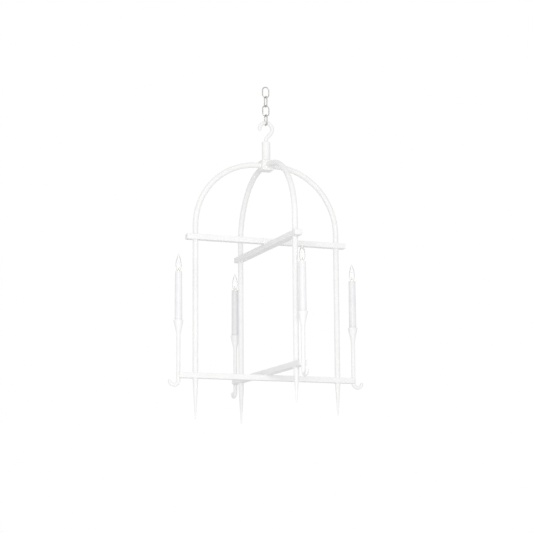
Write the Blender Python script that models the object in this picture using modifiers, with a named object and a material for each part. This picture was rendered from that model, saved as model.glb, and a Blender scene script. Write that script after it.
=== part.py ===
"""Chain lantern: a hanging cage of four bent rods with four candle lamps.

Metres, +Z up. The origin lies on the lantern's axis at the level of the
longest leg point. +X runs to the right candle and -Y to the front candle.
"""

import math

import bmesh
import bpy
from mathutils import Matrix

# Clearance between pieces that touch on the real lantern
GAP = 0.0003
# Running clearance of a sleeve over the socket and the bulb
SLIP = 0.0005

# Four bent rods
ROD_DIAMETER = 0.0182
LEG_RADIUS = 0.254
SHOULDER_REACH = 0.00975
SHOULDER_RISE = 0.0385
POINT_DROP = 0.0014
POINT_TIP_DIAMETER = 0.004

# Each point is drawn out by hand to its own length
POINT_LENGTH_RIGHT = 0.109
POINT_LENGTH_BACK = 0.1215
POINT_LENGTH_LEFT = 0.1315
POINT_LENGTH_FRONT = 0.0915

# Flat cross bars
BAR_WIDTH = 0.026
BAR_THICKNESS = 0.018
BAR_EDGE = 0.0008
LOWER_BAR_HEIGHT = 0.1419
UPPER_BAR_HEIGHT = 0.604
UPPER_BAR_OVERHANG = 0.0315

# Hub block, with the metal that is left between a rod's end and the next rod
HUB_CORE = 0.00375
HUB_HEIGHT = 0.0355
HUB_EDGE = 0.0015
HUB_SOCKET_DEPTH = 0.008

# Stem and ring hook
STEM_DIAMETER = 0.0285
STEM_LENGTH = 0.064
STEM_DOME = 0.0028
STEM_DOME_CURVE = 2.4
HOOK_WIRE = 0.013
HOOK_RING_RADIUS = 0.0225
HOOK_NECK_BEND = 0.012
HOOK_NECK_LEAN = math.radians(42)
HOOK_SHANK = 0.0055
HOOK_SEAT_DEPTH = 0.012
HOOK_END_ANGLE = math.radians(197)

# Chain links
LINK_COUNT = 4
LINK_LENGTH = 0.041
LINK_WIDTH = 0.027
LINK_WIRE = 0.0041
LINK_SLIT = 0.0005

# Candle arm with its curled lower end
ARM_DIAMETER = 0.0135
ARM_REACH = 0.0586
ARM_TOP_HEIGHT = 0.2764
CURL_RADIUS = 0.0152
CURL_DROP_RIGHT = 0.0169
CURL_DROP_BACK = 0.0269
CURL_DROP_LEFT = 0.0269
CURL_DROP_FRONT = 0.0163
CURL_TIP_DIAMETER = 0.0105
CURL_END_ANGLE = math.radians(368)

# Candle cup
CUP_HEIGHT = 0.0465
CUP_LEDGE = 0.004
CUP_RIM_EDGE = 0.0012
CUP_NECK_STEP = 0.0003
CUP_LIP = 0.0018
CUP_CURVE = 1.08
CUP_FLOOR_DEPTH = 0.005

# Candle sleeve
SLEEVE_LENGTH = 0.1658
SLEEVE_TOP_WALL = 0.0012
SLEEVE_FOOT_WALL = 0.002

# Riser and lamp socket inside the sleeve
ARM_BORE_WALL = 0.0013
RISER_WALL = 0.0015
RISER_SEAT_DEPTH = 0.008
SOCKET_RECESS = 0.002
SOCKET_BASE = 0.009
SHELL_WALL = 0.0004
SHELL_RECESS = 0.0011
CONTACT_DIAMETER = 0.006
CONTACT_HEIGHT = 0.0016

# Flame bulb
BULB_DIAMETER = 0.0198
BULB_HEIGHT = 0.0593
BULB_BELLY = 0.32
BULB_FOOT_CURVE = 0.6
BULB_TIP_CURVE = 1.15
BULB_GLASS = 0.0008
BULB_TIP_GLASS = 0.0024
BULB_NECK_SEAT = 0.003
CAP_DIAMETER = 0.0117
CAP_WALL = 0.00085
CAP_LENGTH = 0.0165
CAP_COLLAR = 0.0042
CAP_EXPOSED = 0.003
CAP_BUTTON_DIAMETER = 0.0048
CAP_BUTTON_HEIGHT = 0.0022
FILAMENT_HEIGHT = 0.03
FILAMENT_ROOM = 0.001
FILAMENT_WIRE = 0.0007

# Facets round each form
ROD_RESOLUTION = 5
ARM_RESOLUTION = 4
LINK_RESOLUTION = 2
BEND_STEPS = 12
CURL_STEPS = 10
HOOK_STEPS = 15
LINK_BOW_STEPS = 8
TURN_STEPS = 16
HOLE_SIDES = 32

# Sizes that follow from the ones above
ROD_RADIUS = ROD_DIAMETER / 2
ARM_RADIUS = LEG_RADIUS + ARM_REACH
HUB_WIDTH = 2 * (ROD_RADIUS + HUB_CORE + HUB_SOCKET_DEPTH)
SHOULDER_RUN = HUB_WIDTH / 2 + SHOULDER_REACH
BEND_RADIUS = LEG_RADIUS - SHOULDER_RUN
SPRING_HEIGHT = UPPER_BAR_HEIGHT + SHOULDER_RISE
POINT_TOP = LOWER_BAR_HEIGHT - BAR_THICKNESS / 2 - POINT_DROP
HUB_CENTER = SPRING_HEIGHT + BEND_RADIUS
STEM_FOOT = HUB_CENTER + HUB_HEIGHT / 2 + GAP
STEM_TOP = STEM_FOOT + STEM_LENGTH + STEM_DOME
HOOK_BEND_FOOT = STEM_TOP + HOOK_SHANK
HOOK_BEND_REACH = HOOK_NECK_BEND * math.tan(HOOK_NECK_LEAN / 2)
HOOK_CENTER = HOOK_BEND_FOOT + HOOK_BEND_REACH + HOOK_RING_RADIUS / math.sin(HOOK_NECK_LEAN)
LANTERN_HINGE = HOOK_CENTER + HOOK_RING_RADIUS - (HOOK_WIRE + LINK_WIRE) / 2 - GAP
LINK_PITCH = LINK_LENGTH - 2 * LINK_WIRE - GAP
BAR_STEP = BAR_THICKNESS + GAP
CURL_DATUM = LOWER_BAR_HEIGHT + BAR_STEP / 2
CUP_FOOT = ARM_TOP_HEIGHT + GAP
CUP_RIM = CUP_FOOT + CUP_HEIGHT
SLEEVE_FOOT = CUP_RIM - CUP_FLOOR_DEPTH + GAP
SLEEVE_TOP = SLEEVE_FOOT + SLEEVE_LENGTH
SLEEVE_BORE = BULB_DIAMETER + 2 * SLIP
SLEEVE_FOOT_RADIUS = SLEEVE_BORE / 2 + SLEEVE_FOOT_WALL
CUP_RIM_RADIUS = SLEEVE_FOOT_RADIUS + CUP_LEDGE
RISER_DIAMETER = ARM_DIAMETER - 2 * (ARM_BORE_WALL + GAP)
SOCKET_TOP = SLEEVE_TOP - SOCKET_RECESS
BULB_FOOT = SLEEVE_TOP + CAP_EXPOSED
CAP_FOOT = BULB_FOOT - CAP_LENGTH
BUTTON_FOOT = CAP_FOOT - CAP_BUTTON_HEIGHT
CONTACT_FOOT = BUTTON_FOOT - GAP - CONTACT_HEIGHT
SOCKET_FLOOR = CONTACT_FOOT - GAP
SOCKET_FOOT = SOCKET_FLOOR - SOCKET_BASE
SHELL_LENGTH = SOCKET_TOP - SOCKET_FLOOR - SHELL_RECESS
SHELL_BORE = CAP_DIAMETER + 2 * GAP
SHELL_DIAMETER = SHELL_BORE + 2 * SHELL_WALL
SOCKET_BORE = SHELL_DIAMETER + 2 * GAP
SOCKET_DIAMETER = SLEEVE_BORE - 2 * SLIP
BULB_NECK_RADIUS = CAP_DIAMETER / 2 - CAP_WALL - GAP

SIDES = {"right": 0.0, "back": 90.0, "left": 180.0, "front": 270.0}
POINT_LENGTHS = {
    "right": POINT_LENGTH_RIGHT,
    "back": POINT_LENGTH_BACK,
    "left": POINT_LENGTH_LEFT,
    "front": POINT_LENGTH_FRONT,
}
CURL_CENTERS = {
    "right": CURL_DATUM - CURL_DROP_RIGHT,
    "back": CURL_DATUM - CURL_DROP_BACK,
    "left": CURL_DATUM - CURL_DROP_LEFT,
    "front": CURL_DATUM - CURL_DROP_FRONT,
}


def clear_scene():
    for obj in list(bpy.data.objects):
        bpy.data.objects.remove(obj, do_unlink=True)


def new_collection(name):
    collection = bpy.data.collections.new(name)
    bpy.context.scene.collection.children.link(collection)
    return collection


def finish(name, color, roughness, metallic=0.0):
    """A Principled material for one sub-part."""
    material = bpy.data.materials.new(name + "_finish")
    material.use_nodes = True
    shader = material.node_tree.nodes["Principled BSDF"]
    shader.inputs["Base Color"].default_value = (*color, 1.0)
    shader.inputs["Roughness"].default_value = roughness
    shader.inputs["Metallic"].default_value = metallic
    return material


def add_object(name, data, material, collection, location=(0, 0, 0), turn=0.0):
    """Link an object, placed by its location and a turn about Z in degrees."""
    data.materials.append(material)
    obj = bpy.data.objects.new(name, data)
    obj.location = location
    obj.rotation_euler = (0, 0, math.radians(turn))
    collection.objects.link(obj)
    return obj


def shade_round(mesh, sharp_angle=40.0):
    mesh.shade_smooth()
    mesh.set_sharp_from_angle(angle=math.radians(sharp_angle))


def tube_curve(name, points, radius, resolution, scales=None):
    """A round tube along straight stretches between the points."""
    curve = bpy.data.curves.new(name, "CURVE")
    curve.dimensions = "3D"
    curve.bevel_depth = radius
    curve.bevel_resolution = resolution
    curve.use_fill_caps = True
    curve.twist_mode = "MINIMUM"
    spline = curve.splines.new("POLY")
    spline.points.add(len(points) - 1)
    for index, point in enumerate(points):
        spline.points[index].co = (*point, 1.0)
        spline.points[index].radius = scales[index] if scales else 1.0
    spline.use_smooth = True
    return curve


def tube_mesh(name, points, radius, resolution, scales=None):
    """The same tube as one closed mesh, for a piece that is cut afterwards."""
    curve = tube_curve(name + "_path", points, radius, resolution, scales)
    guide = bpy.data.objects.new(name + "_path", curve)
    bpy.context.scene.collection.objects.link(guide)
    evaluated = guide.evaluated_get(bpy.context.evaluated_depsgraph_get())
    mesh = bpy.data.meshes.new_from_object(evaluated)
    mesh.name = name
    bm = bmesh.new()
    bm.from_mesh(mesh)
    bmesh.ops.remove_doubles(bm, verts=bm.verts, dist=0.00001)
    bmesh.ops.recalc_face_normals(bm, faces=bm.faces)
    bm.to_mesh(mesh)
    bm.free()
    bpy.data.objects.remove(guide, do_unlink=True)
    shade_round(mesh)
    return mesh


def turned(name, profile, material, collection, location, closed=False, steps=TURN_STEPS):
    """A turned piece: its profile of (radius, height) runs down the outer side."""
    mesh = bpy.data.meshes.new(name)
    bm = bmesh.new()
    verts = [bm.verts.new((radius, 0, height)) for radius, height in profile]
    for upper, lower in zip(verts, verts[1:]):
        bm.edges.new((upper, lower))
    if closed:
        bm.edges.new((verts[-1], verts[0]))
    bm.to_mesh(mesh)
    bm.free()
    obj = add_object(name, mesh, material, collection, location)
    screw = obj.modifiers.new("turn", "SCREW")
    screw.steps = steps
    screw.render_steps = steps
    screw.use_merge_vertices = True
    screw.merge_threshold = 0.00001
    screw.use_smooth_shade = True
    return obj


def box_mesh(name, size):
    mesh = bpy.data.meshes.new(name)
    bm = bmesh.new()
    bmesh.ops.create_cube(bm, size=1.0)
    bmesh.ops.scale(bm, vec=size, verts=bm.verts)
    bm.to_mesh(mesh)
    bm.free()
    return mesh


def chamfer(obj, width):
    bevel = obj.modifiers.new("edges", "BEVEL")
    bevel.width = width
    bevel.segments = 1
    bevel.limit_method = "ANGLE"


def round_cutter(name, diameter, length, collection, location, along="Z"):
    """A cylinder centred at its location, for a hole along one axis."""
    mesh = bpy.data.meshes.new(name)
    bm = bmesh.new()
    bmesh.ops.create_cone(bm, cap_ends=True, segments=HOLE_SIDES, radius1=diameter / 2,
                          radius2=diameter / 2, depth=length)
    if along == "X":
        bmesh.ops.rotate(bm, verts=bm.verts, matrix=Matrix.Rotation(math.pi / 2, 3, "Y"))
    if along == "Y":
        bmesh.ops.rotate(bm, verts=bm.verts, matrix=Matrix.Rotation(math.pi / 2, 3, "X"))
    bm.to_mesh(mesh)
    bm.free()
    cutter = bpy.data.objects.new(name, mesh)
    cutter.location = location
    cutter.hide_render = True
    cutter.display_type = "WIRE"
    collection.objects.link(cutter)
    return cutter


def cut(obj, cutter):
    boolean = obj.modifiers.new(cutter.name, "BOOLEAN")
    boolean.operation = "DIFFERENCE"
    boolean.solver = "EXACT"
    boolean.object = cutter


def around(turn, radius, height):
    """The point at a radius from the lantern's axis, in the direction of a side."""
    angle = math.radians(turn)
    return (radius * math.cos(angle), radius * math.sin(angle), height)


def arc(center, radius, start, end, steps):
    """Points of an arc in the X-Z plane, angles from +X in radians."""
    points = []
    for index in range(steps + 1):
        angle = start + (end - start) * index / steps
        points.append((center[0] + radius * math.cos(angle), 0.0,
                       center[1] + radius * math.sin(angle)))
    return points


def point_scale(height, length):
    """Share of the rod's thickness left at a height, in a point of some length."""
    tip = POINT_TIP_DIAMETER / ROD_DIAMETER
    return tip + (1 - tip) * min(1 + (height - POINT_TOP) / length, 1.0)


def make_leg(side, turn, material, collection):
    """One rod: out of the hub, round the shoulder, down the leg to its point."""
    inner_end = HUB_WIDTH / 2 - HUB_SOCKET_DEPTH + GAP
    path = [(inner_end, 0.0, HUB_CENTER)]
    path += arc((SHOULDER_RUN, SPRING_HEIGHT), BEND_RADIUS, math.pi / 2, 0.0, BEND_STEPS)
    length = POINT_LENGTHS[side]
    path += [(LEG_RADIUS, 0.0, POINT_TOP - length * share) for share in (0.0, 0.5, 1.0)]
    scales = [point_scale(point[2], length) for point in path]
    curve = tube_curve("leg_" + side, path, ROD_RADIUS, ROD_RESOLUTION, scales)
    return add_object("leg_" + side, curve, material, collection, turn=turn)


def make_bar(name, half_length, height, turn, hole_diameter, material, collection, cutters):
    """A flat cross bar with a hole for each of the two legs that pass through it."""
    size = (2 * half_length, BAR_WIDTH, BAR_THICKNESS)
    bar = add_object(name, box_mesh(name, size), material, collection, (0, 0, height), turn)
    chamfer(bar, BAR_EDGE)
    for end in (0.0, 180.0):
        spot = around(turn + end, LEG_RADIUS, height)
        label = f"{name}_hole_{int(end)}"
        cut(bar, round_cutter(label, hole_diameter, 2 * BAR_THICKNESS, cutters, spot))
    return bar


def make_bars(material, collection, cutters):
    hole = ROD_DIAMETER + 2 * GAP
    upper = LEG_RADIUS + UPPER_BAR_OVERHANG
    make_bar("upper_bar_x", upper, UPPER_BAR_HEIGHT, 0.0, hole, material, collection, cutters)
    make_bar("upper_bar_y", upper, UPPER_BAR_HEIGHT - BAR_STEP, 90.0, hole, material,
             collection, cutters)
    for name, turn, height in (("lower_bar_x", 0.0, LOWER_BAR_HEIGHT),
                               ("lower_bar_y", 90.0, LOWER_BAR_HEIGHT + BAR_STEP)):
        bar = make_bar(name, ARM_RADIUS, height, turn, hole, material, collection, cutters)
        for end in (0.0, 180.0):
            spot = around(turn + end, ARM_RADIUS, height)
            label = f"{name}_mouth_{int(end)}"
            mouth = ARM_DIAMETER + 2 * GAP
            cut(bar, round_cutter(label, mouth, 2 * BAR_THICKNESS, cutters, spot))


def make_hub(material, collection, cutters):
    """The block that the four rods are socketed in."""
    size = (HUB_WIDTH, HUB_WIDTH, HUB_HEIGHT)
    hub = add_object("hub", box_mesh("hub", size), material, collection, (0, 0, HUB_CENTER))
    chamfer(hub, HUB_EDGE)
    length = 2 * HUB_SOCKET_DEPTH
    for side, turn in SIDES.items():
        along = "X" if side in ("left", "right") else "Y"
        spot = around(turn, HUB_WIDTH / 2, HUB_CENTER)
        cut(hub, round_cutter("hub_socket_" + side, ROD_DIAMETER + 2 * GAP, length, cutters,
                              spot, along))
    return hub


def make_stem(material, collection):
    """The post on the hub, with a domed top that is bored for the hook."""
    bore = HOOK_WIRE / 2 + GAP
    top = STEM_LENGTH + STEM_DOME
    radius = STEM_DIAMETER / 2
    profile = [(0.0, top - HOOK_SEAT_DEPTH), (bore, top - HOOK_SEAT_DEPTH)]
    for index in range(5):
        share = index / 4
        across = bore + (radius - bore) * share
        profile.append((across, STEM_LENGTH + STEM_DOME * (1 - share ** STEM_DOME_CURVE)))
    profile += [(radius, 0.0), (0.0, 0.0)]
    return turned("stem", profile, material, collection, (0, 0, STEM_FOOT), steps=20)


def make_hook(material, collection):
    """A round rod bent to an open ring above the stem."""
    ring = (0.0, HOOK_CENTER)
    neck = (HOOK_NECK_BEND, HOOK_BEND_FOOT)
    path = [(0.0, 0.0, STEM_TOP - HOOK_SEAT_DEPTH + GAP)]
    path += arc(neck, HOOK_NECK_BEND, math.pi, math.pi - HOOK_NECK_LEAN, 4)
    path += arc(ring, HOOK_RING_RADIUS, -HOOK_NECK_LEAN, HOOK_END_ANGLE, HOOK_STEPS)
    curve = tube_curve("top_hook", path, HOOK_WIRE / 2, ARM_RESOLUTION)
    return add_object("top_hook", curve, material, collection)


def link_path():
    """One open chain link in the X-Z plane, with its slit in the +X side.

    The origin is the centre of the wire that the link hangs from.
    """
    bow = (LINK_WIDTH - LINK_WIRE) / 2
    upper = LINK_WIRE + GAP - bow
    lower = upper - (LINK_LENGTH - LINK_WIDTH)
    middle = (upper + lower) / 2
    path = [(bow, 0.0, middle + LINK_SLIT / 2)]
    path += arc((0.0, upper), bow, 0.0, math.pi, LINK_BOW_STEPS)
    path += arc((0.0, lower), bow, math.pi, 2 * math.pi, LINK_BOW_STEPS)
    path.append((bow, 0.0, middle - LINK_SLIT / 2))
    return path


def make_chain(material, collection):
    """The links, from the one in the ring hook upwards; every second one is turned."""
    for number in range(LINK_COUNT, 0, -1):
        above_ring = LINK_COUNT - number
        height = LANTERN_HINGE + LINK_PITCH * (above_ring + 1)
        turn = 90.0 if above_ring % 2 == 0 else 0.0
        name = f"chain_link_{number}"
        curve = tube_curve(name, link_path(), LINK_WIRE / 2, LINK_RESOLUTION)
        add_object(name, curve, material, collection, (0, 0, height), turn)


def make_arm(side, turn, material, collection, cutters):
    """The rod under a candle, curled outwards and up at its lower end."""
    center = CURL_CENTERS[side]
    path = [(0.0, 0.0, ARM_TOP_HEIGHT - center)]
    path += arc((CURL_RADIUS, 0.0), CURL_RADIUS, math.pi, CURL_END_ANGLE, CURL_STEPS)
    tip = CURL_TIP_DIAMETER / ARM_DIAMETER
    scales = [1.0] + [1 - (1 - tip) * index / CURL_STEPS for index in range(CURL_STEPS + 1)]
    name = "candle_arm_" + side
    mesh = tube_mesh(name, path, ARM_DIAMETER / 2, ARM_RESOLUTION, scales)
    foot = around(turn, ARM_RADIUS, center)
    arm = add_object(name, mesh, material, collection, foot, turn)
    top = around(turn, ARM_RADIUS, ARM_TOP_HEIGHT)
    bore = RISER_DIAMETER + 2 * GAP
    cut(arm, round_cutter("arm_bore_" + side, bore, 2 * RISER_SEAT_DEPTH, cutters, top))
    return arm


def make_cup(side, turn, material, collection):
    """A trumpet cup that the sleeve stands in."""
    bore = RISER_DIAMETER / 2 + GAP
    rim = CUP_RIM_RADIUS
    neck = ARM_DIAMETER / 2 + CUP_NECK_STEP
    flare = CUP_HEIGHT - CUP_LIP
    profile = [(rim, CUP_HEIGHT)]
    for index in range(6):
        share = 1 - index / 5
        profile.append((neck + (rim - neck) * share ** CUP_CURVE, flare * share))
    profile += [(bore, 0.0), (bore, CUP_HEIGHT - CUP_FLOOR_DEPTH),
                (SLEEVE_FOOT_RADIUS + SLIP, CUP_HEIGHT - CUP_FLOOR_DEPTH),
                (rim - CUP_RIM_EDGE, CUP_HEIGHT)]
    spot = around(turn, ARM_RADIUS, CUP_FOOT)
    return turned("candle_cup_" + side, profile, material, collection, spot, closed=True)


def make_sleeve(side, turn, material, collection):
    """The plain candle tube, a little thicker at its foot."""
    bore = SLEEVE_BORE / 2
    profile = [(bore + SLEEVE_TOP_WALL, SLEEVE_LENGTH), (SLEEVE_FOOT_RADIUS, 0.0),
               (bore, 0.0), (bore, SLEEVE_LENGTH)]
    spot = around(turn, ARM_RADIUS, SLEEVE_FOOT)
    return turned("candle_sleeve_" + side, profile, material, collection, spot, closed=True,
                  steps=20)


def make_riser(side, turn, material, collection):
    """The tube that carries the lamp socket and leads the wires up to it."""
    foot = ARM_TOP_HEIGHT - RISER_SEAT_DEPTH + GAP
    length = SOCKET_FOOT - GAP - foot
    outer = RISER_DIAMETER / 2
    inner = outer - RISER_WALL
    profile = [(outer, length), (outer, 0.0), (inner, 0.0), (inner, length)]
    spot = around(turn, ARM_RADIUS, foot)
    return turned("socket_riser_" + side, profile, material, collection, spot, closed=True,
                  steps=12)


def make_socket(side, turn, looks, collection):
    """Socket body, screw shell and centre contact, from the outside in."""
    spot = around(turn, ARM_RADIUS, SOCKET_FOOT)
    height = SOCKET_TOP - SOCKET_FOOT
    outer = SOCKET_DIAMETER / 2
    inner = SOCKET_BORE / 2
    profile = [(0.0, SOCKET_BASE), (inner, SOCKET_BASE), (inner, height), (outer, height),
               (outer, SOCKET_BASE / 2), (RISER_DIAMETER / 2, 0.0), (0.0, 0.0)]
    turned("socket_body_" + side, profile, looks["insulator"], collection, spot)
    shell_foot = SOCKET_BASE + GAP
    shell_outer = SHELL_DIAMETER / 2
    shell_inner = SHELL_BORE / 2
    profile = [(shell_outer, shell_foot + SHELL_LENGTH), (shell_outer, shell_foot),
               (shell_inner, shell_foot), (shell_inner, shell_foot + SHELL_LENGTH)]
    turned("socket_shell_" + side, profile, looks["brass"], collection, spot, closed=True,
           steps=14)
    contact_spot = around(turn, ARM_RADIUS, CONTACT_FOOT)
    profile = [(0.0, CONTACT_HEIGHT), (CONTACT_DIAMETER / 2, CONTACT_HEIGHT / 2),
               (CONTACT_DIAMETER / 2, 0.0), (0.0, 0.0)]
    turned("socket_contact_" + side, profile, looks["brass"], collection, contact_spot, steps=10)


def flame_radius(share, neck, belly):
    """Radius of the flame bulb at a share of its height above the neck."""
    if share < BULB_BELLY:
        return neck + (belly - neck) * math.sin(share / BULB_BELLY * math.pi / 2) ** BULB_FOOT_CURVE
    rest = (share - BULB_BELLY) / (1 - BULB_BELLY)
    return belly * math.cos(rest * math.pi / 2) ** BULB_TIP_CURVE


def make_bulb(side, turn, looks, collection):
    """Glass envelope, screw cap and filament, all turned about the candle's axis."""
    spot = around(turn, ARM_RADIUS, BULB_FOOT)
    neck = BULB_NECK_RADIUS
    belly = BULB_DIAMETER / 2
    shares = (1.0, 0.94, 0.84, 0.7, 0.54, BULB_BELLY, 0.2, 0.08)
    outer = [(flame_radius(share, neck, belly), BULB_HEIGHT * share) for share in shares]
    outer[0] = (0.0, BULB_HEIGHT)
    inner = []
    for share in reversed(shares[1:]):
        radius = flame_radius(share, neck, belly) - BULB_GLASS
        inner.append((radius, (BULB_HEIGHT - BULB_GLASS) * share))
    seat = -BULB_NECK_SEAT + GAP
    profile = outer + [(neck, 0.0), (neck, seat), (neck - BULB_GLASS, seat),
                       (neck - BULB_GLASS, 0.0)] + inner
    profile.append((0.0, BULB_HEIGHT - BULB_TIP_GLASS))
    turned("bulb_glass_" + side, profile, looks["glass"], collection, spot, steps=14)

    cap_spot = around(turn, ARM_RADIUS, BUTTON_FOOT)
    cap = CAP_DIAMETER / 2
    button = CAP_BUTTON_DIAMETER / 2
    foot = CAP_BUTTON_HEIGHT
    top = foot + CAP_LENGTH
    seat_radius = neck + GAP
    profile = [(0.0, top - BULB_NECK_SEAT), (seat_radius, top - BULB_NECK_SEAT),
               (seat_radius, top), (cap, top), (cap, foot + CAP_COLLAR), (button, foot),
               (button, 0.0), (0.0, 0.0)]
    turned("bulb_cap_" + side, profile, looks["brass"], collection, cap_spot, steps=14)

    half = neck - BULB_GLASS - FILAMENT_WIRE / 2 - FILAMENT_ROOM
    crown = arc((0.0, FILAMENT_HEIGHT - half), half, math.pi, 0.0, 6)
    path = [(-half, 0.0, seat)] + crown + [(half, 0.0, seat)]
    curve = tube_curve("bulb_filament_" + side, path, FILAMENT_WIRE / 2, 1)
    add_object("bulb_filament_" + side, curve, looks["filament"], collection, spot, turn)


def hang_on_hinge(objects, collection):
    """Parent the lantern's pieces to an empty on the wire that it swings on."""
    hinge = bpy.data.objects.new("lantern_hinge", None)
    hinge.location = (0, 0, LANTERN_HINGE)
    collection.objects.link(hinge)
    for obj in objects:
        obj.parent = hinge
        obj.location.z -= LANTERN_HINGE


def make_lantern():
    clear_scene()
    parts = new_collection("chain_lantern")
    cutters = new_collection("cutters")
    looks = {
        "rod": finish("painted_rod", (0.80, 0.79, 0.77), 0.6),
        "bar": finish("painted_bar", (0.79, 0.78, 0.76), 0.6),
        "hub": finish("painted_hub", (0.80, 0.79, 0.78), 0.55),
        "chain": finish("chain_metal", (0.62, 0.61, 0.60), 0.4, 0.6),
        "cup": finish("painted_cup", (0.80, 0.79, 0.78), 0.5),
        "sleeve": finish("candle_sleeve", (0.86, 0.84, 0.86), 0.45),
        "riser": finish("zinc_riser", (0.55, 0.55, 0.56), 0.35, 0.9),
        "insulator": finish("socket_insulator", (0.85, 0.83, 0.78), 0.4),
        "brass": finish("brass", (0.72, 0.52, 0.25), 0.3, 1.0),
        "glass": finish("bulb_glass", (0.92, 0.90, 0.86), 0.1),
        "filament": finish("filament", (0.35, 0.33, 0.32), 0.4, 1.0),
    }
    make_hub(looks["hub"], parts, cutters)
    make_stem(looks["hub"], parts)
    make_hook(looks["rod"], parts)
    make_bars(looks["bar"], parts, cutters)
    for side, turn in SIDES.items():
        make_leg(side, turn, looks["rod"], parts)
        make_arm(side, turn, looks["rod"], parts, cutters)
        make_cup(side, turn, looks["cup"], parts)
        make_riser(side, turn, looks["riser"], parts)
        make_socket(side, turn, looks, parts)
        make_sleeve(side, turn, looks["sleeve"], parts)
        make_bulb(side, turn, looks, parts)
    hang_on_hinge([*parts.objects, *cutters.objects], parts)
    make_chain(looks["chain"], parts)


make_lantern()
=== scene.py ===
import math

import bmesh
import bpy
from mathutils import Matrix, Vector, noise


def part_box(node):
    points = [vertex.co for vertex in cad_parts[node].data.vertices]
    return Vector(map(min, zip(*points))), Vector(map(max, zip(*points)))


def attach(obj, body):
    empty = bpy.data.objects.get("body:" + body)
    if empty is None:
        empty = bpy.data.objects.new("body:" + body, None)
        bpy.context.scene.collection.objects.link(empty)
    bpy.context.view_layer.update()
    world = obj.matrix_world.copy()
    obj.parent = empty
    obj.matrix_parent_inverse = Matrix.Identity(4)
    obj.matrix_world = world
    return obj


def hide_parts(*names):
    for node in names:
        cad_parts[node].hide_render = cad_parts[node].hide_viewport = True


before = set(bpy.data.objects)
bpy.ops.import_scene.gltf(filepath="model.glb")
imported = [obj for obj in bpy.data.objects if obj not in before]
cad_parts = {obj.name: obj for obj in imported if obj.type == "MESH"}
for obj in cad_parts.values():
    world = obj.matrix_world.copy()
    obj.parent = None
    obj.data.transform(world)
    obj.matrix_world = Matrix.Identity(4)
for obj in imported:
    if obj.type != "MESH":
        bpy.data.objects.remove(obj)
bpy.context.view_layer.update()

# Looks of the chain lantern: white plaster-like paint on forged rods, candle sleeves with clear
# flame bulbs, and a nickel chain. Sizes come from the frame, metres, +Z up.

sides = {"right": 0, "back": 90, "left": 180, "front": 270}  # degrees about the lantern's axis
print("frame loaded:", len(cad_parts), "nodes")


# measures of the frame


def middle(node):
    low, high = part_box(node)
    return (low + high) / 2


def extent(node):
    low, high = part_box(node)
    return high - low


rodRadius = extent("leg_right").y / 2
armRodRadius = extent("candle_arm_right").y / 2
hookWire = extent("top_hook").y / 2
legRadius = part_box("leg_right")[1].x - rodRadius  # from the axis to the middle of a leg
armRadius = middle("candle_cup_right").x  # from the axis to the middle of a candle
hubCenter = middle("hub").z
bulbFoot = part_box("bulb_cap_right")[1].z
upward, downward = Vector((0, 0, 1)), Vector((0, 0, -1))


def sideTurn(side):
    return Matrix.Rotation(math.radians(sides[side]), 4, "Z")


def turnedTo(side, point):
    # a point built for the right-hand side, turned about the lantern's axis
    return sideTurn(side) @ Vector(point)


def candleSpot(side, height=0):
    return turnedTo(side, (armRadius, 0, height))


def stoodOn(center, axis):
    # matrix that sets a piece built upright at the origin onto a spot, along an axis
    return Matrix.Translation(center) @ upward.rotation_difference(Vector(axis)).to_matrix().to_4x4()


# mesh helpers

crispAngle = 38  # degrees, edges bent more than this stay crisp


def newObject(name, bm, material, body, nodes=()):
    bmesh.ops.recalc_face_normals(bm, faces=bm.faces)
    mesh = bpy.data.meshes.new(name)
    bm.to_mesh(mesh)
    bm.free()
    return dress(bpy.data.objects.new(name, mesh), material, body, nodes)


def dress(obj, material, body, nodes=()):
    # smooth shading, finish, body and the frame node that the piece stands for
    if obj.name not in bpy.context.scene.collection.objects:
        bpy.context.scene.collection.objects.link(obj)
    obj.data.shade_smooth()
    obj.data.set_sharp_from_angle(angle=math.radians(crispAngle))
    obj.data.materials.clear()
    obj.data.materials.append(material)
    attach(obj, body)
    if nodes:
        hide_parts(*nodes)
    return obj


def arcPoints(center, radius, start, end, steps):
    # arc in the X-Z plane, angles in degrees from +X towards +Z
    points = []
    for i in range(steps + 1):
        a = math.radians(start + (end - start) * i / steps)
        points.append(Vector((center[0] + radius * math.cos(a), 0, center[1] + radius * math.sin(a))))
    return points


def linePoints(a, b, steps):
    return [Vector(a).lerp(Vector(b), i / steps) for i in range(steps + 1)]


def unevenness(point, size, depth):
    # how far a hand-finished surface stands out at a point
    return depth * noise.noise(Vector(point) / size)


def sweep(bm, path, radii, ringSides, rounded=False, wave=0.0, waveSize=0.02):
    # tube along a path, with rings that don't twist, and a flat or rounded far end
    points = [Vector(p) for p in path]
    radii = radii if isinstance(radii, list) else [radii] * len(points)
    tangents = []
    for i in range(len(points)):
        before = points[max(i - 1, 0)]
        after = points[min(i + 1, len(points) - 1)]
        tangents.append((after - before).normalized())
    if rounded:
        points, radii, tangents = domed(points, radii, tangents)
    side = tangents[0].orthogonal().normalized()
    rings = []
    for point, radius, tangent in zip(points, radii, tangents):
        side = (side - tangent * side.dot(tangent)).normalized()
        other = tangent.cross(side)
        ring = []
        for k in range(ringSides):
            a = 2 * math.pi * k / ringSides
            out = side * math.cos(a) + other * math.sin(a)
            spot = point + out * radius
            ring.append(bm.verts.new(spot + out * unevenness(spot, waveSize, wave)))
        rings.append(ring)
    for lower, upper in zip(rings, rings[1:]):
        for k in range(ringSides):
            n = (k + 1) % ringSides
            bm.faces.new((lower[k], lower[n], upper[n], upper[k]))
    bm.faces.new(rings[0])
    bm.faces.new(rings[-1])


roundEnd = {"rings": 7, "clear": 0.0002, "openShare": 0.35}  # openShare of a ring is left flat at the tip


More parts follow.
